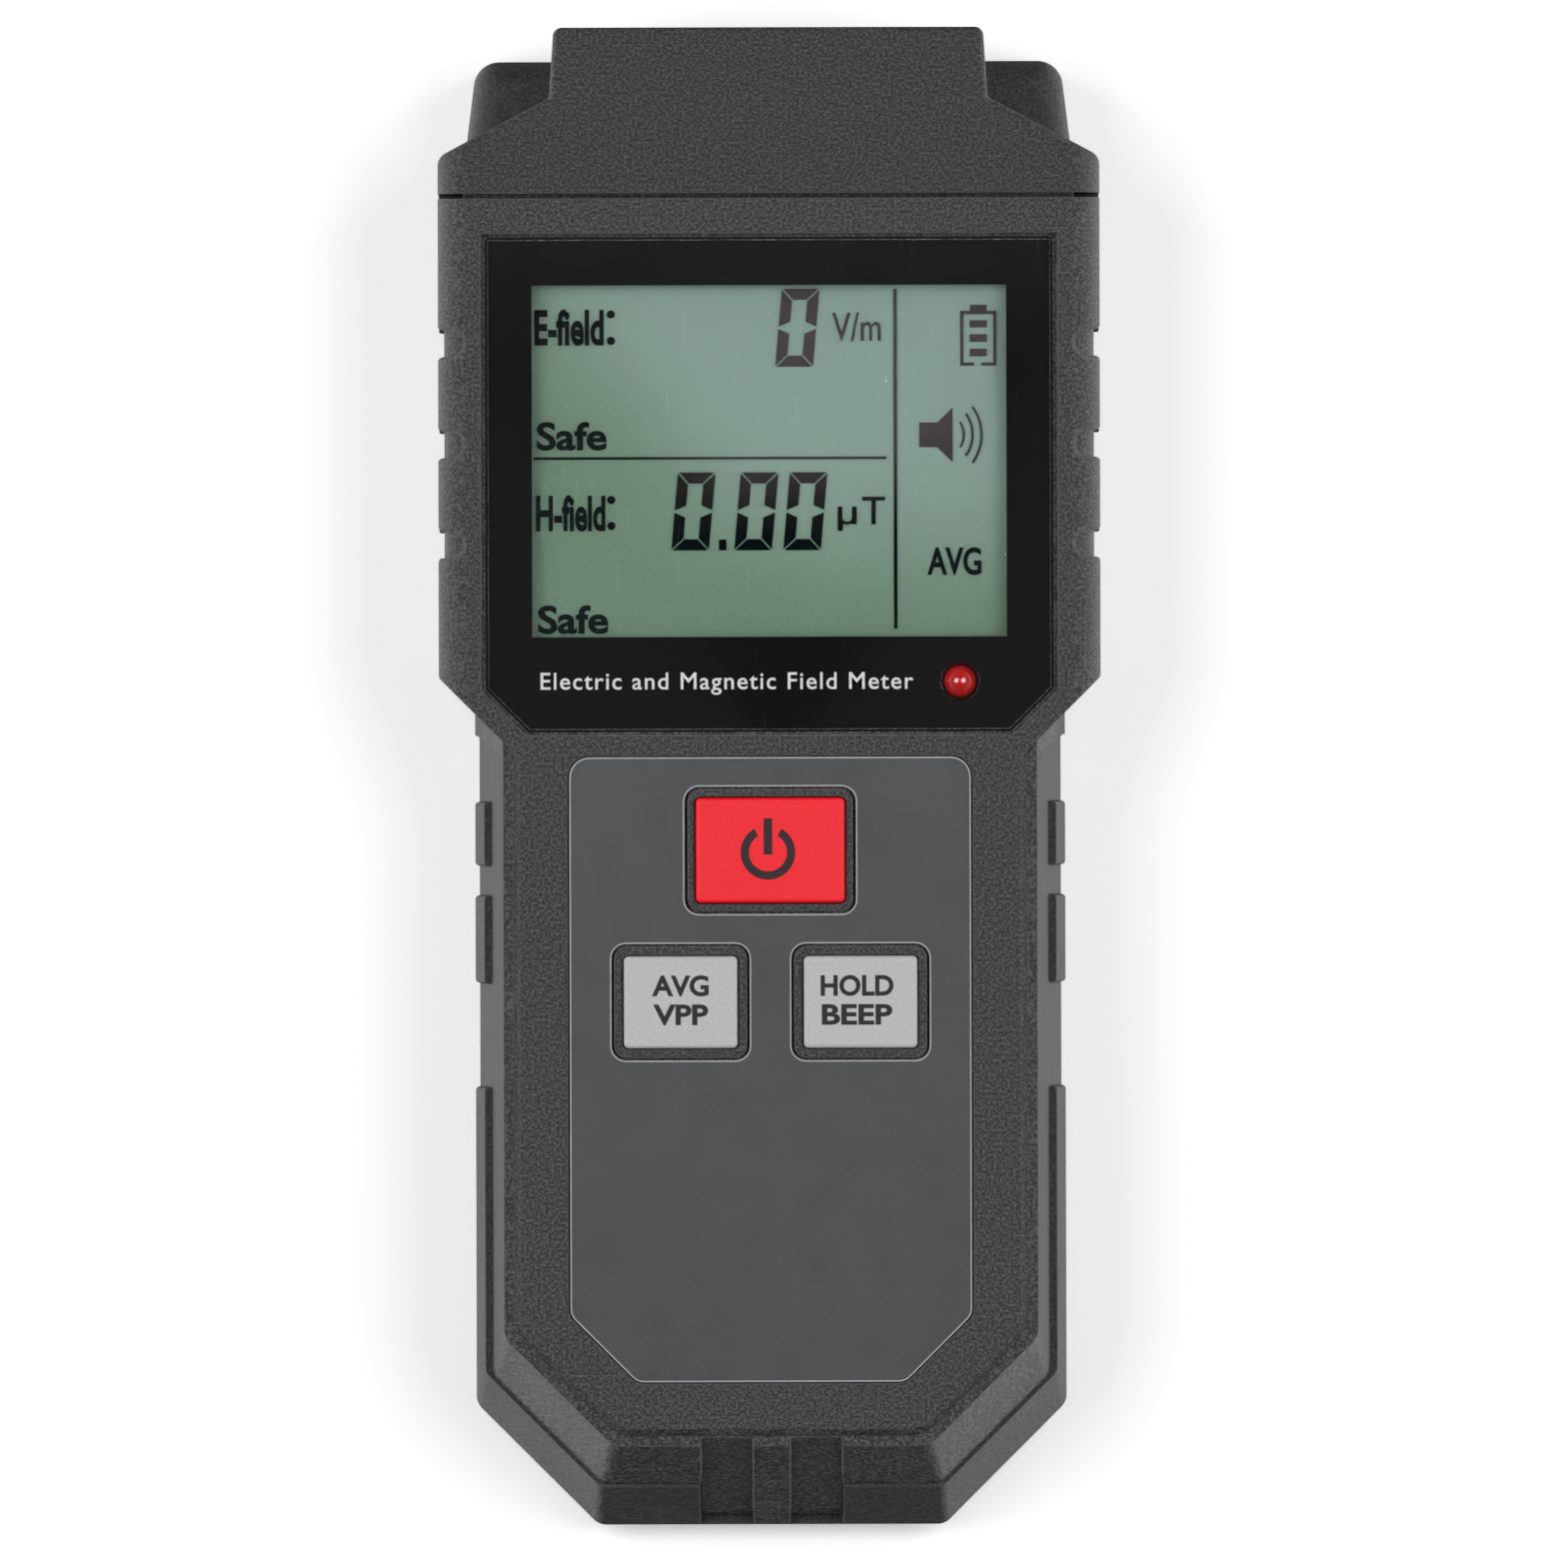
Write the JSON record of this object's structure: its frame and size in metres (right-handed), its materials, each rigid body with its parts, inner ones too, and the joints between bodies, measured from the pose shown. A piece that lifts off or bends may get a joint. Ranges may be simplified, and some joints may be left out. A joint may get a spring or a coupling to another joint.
{
  "type": "electromagnetic field meter",
  "caption": "Handheld field meter: grained shell with a sensor nose, display window, pressable keys, soft side grips and a battery cover that tilts open.",
  "frame": {"origin": "centre of the meter's footprint, on the surface that its rear face lies on", "axes": "+X right of the front face, +Y towards the sensor nose, +Z out of the front face"},
  "size_m": [0.0596, 0.135, 0.0297],
  "materials": {
    "housing": "fine grained dark grey plastic",
    "cap": "fine grained dark grey plastic",
    "grip": "smooth soft-touch",
    "window": "clear polished acrylic",
    "mask": "black print",
    "tape": "black adhesive foam",
    "lcd": "reflective liquid crystal display",
    "light_guide": "milky light guide",
    "holder": "white moulded plastic",
    "silicone": "silicone",
    "overlay": "satin film",
    "red_key": "satin red plastic",
    "grey_key": "satin grey plastic",
    "lamp": "clear red epoxy",
    "board": "green solder mask",
    "chip": "black epoxy",
    "switch": "black nylon",
    "plunger": "nylon",
    "steel": "nickel plated steel",
    "black_steel": "blackened steel",
    "copper": "copper",
    "ferrite": "sintered ferrite",
    "cell": "plain wrapped can",
    "label": "matt film"
  },
  "bodies": {
    "case": {"front_housing": "housing", "rear_housing": "housing", "sensor_cap": "cap", "grip_left": "grip", "grip_right": "grip", "display_lens": "window", "lens_mask": "mask", "lens_tape": "tape", "lcd_glass": "lcd", "lcd_backlight": "light_guide", "lcd_holder": "holder", "elastomer_connector": "silicone", "keypad_panel": "overlay", "alarm_led": "lamp", "main_board": "board", "microcontroller": "chip", "analog_chips": "chip", "chip_parts": "chip", "buzzer": "chip", "power_switch": "switch", "mode_switch": "switch", "hold_switch": "switch", "crystal": "steel", "battery_springs": "steel", "battery_contacts": "steel", "board_screws": "steel", "housing_screws": "black_steel", "field_coil_winding": "copper", "e_field_plate": "copper", "field_coil_core": "ferrite", "battery_cell_1": "cell", "battery_cell_2": "cell", "battery_cell_3": "cell", "rear_label": "label"},
    "power_key": {"power_button": "red_key", "power_plunger": "plunger"},
    "mode_key": {"mode_button": "grey_key", "mode_plunger": "plunger"},
    "hold_key": {"hold_button": "grey_key", "hold_plunger": "plunger"},
    "cover": {"battery_cover": "housing"}
  },
  "joints": [
    {"name": "power_press", "type": "slide", "parent": "case", "child": "power_key", "axis": [0, 0, -1], "range_m": [0, 0.0005], "stiffness_N_per_m": 1600, "springref_m": -0.0003},
    {"name": "mode_press", "type": "slide", "parent": "case", "child": "mode_key", "axis": [0, 0, -1], "range_m": [0, 0.0005], "stiffness_N_per_m": 1600, "springref_m": -0.0003},
    {"name": "hold_press", "type": "slide", "parent": "case", "child": "hold_key", "axis": [0, 0, -1], "range_m": [0, 0.0005], "stiffness_N_per_m": 1600, "springref_m": -0.0003},
    {"name": "cover_tilt", "type": "hinge", "parent": "case", "child": "cover", "pos_m": [0, -0.0576, 0], "axis": [-1, 0, 0], "range_deg": [0, 50]}
  ]
}
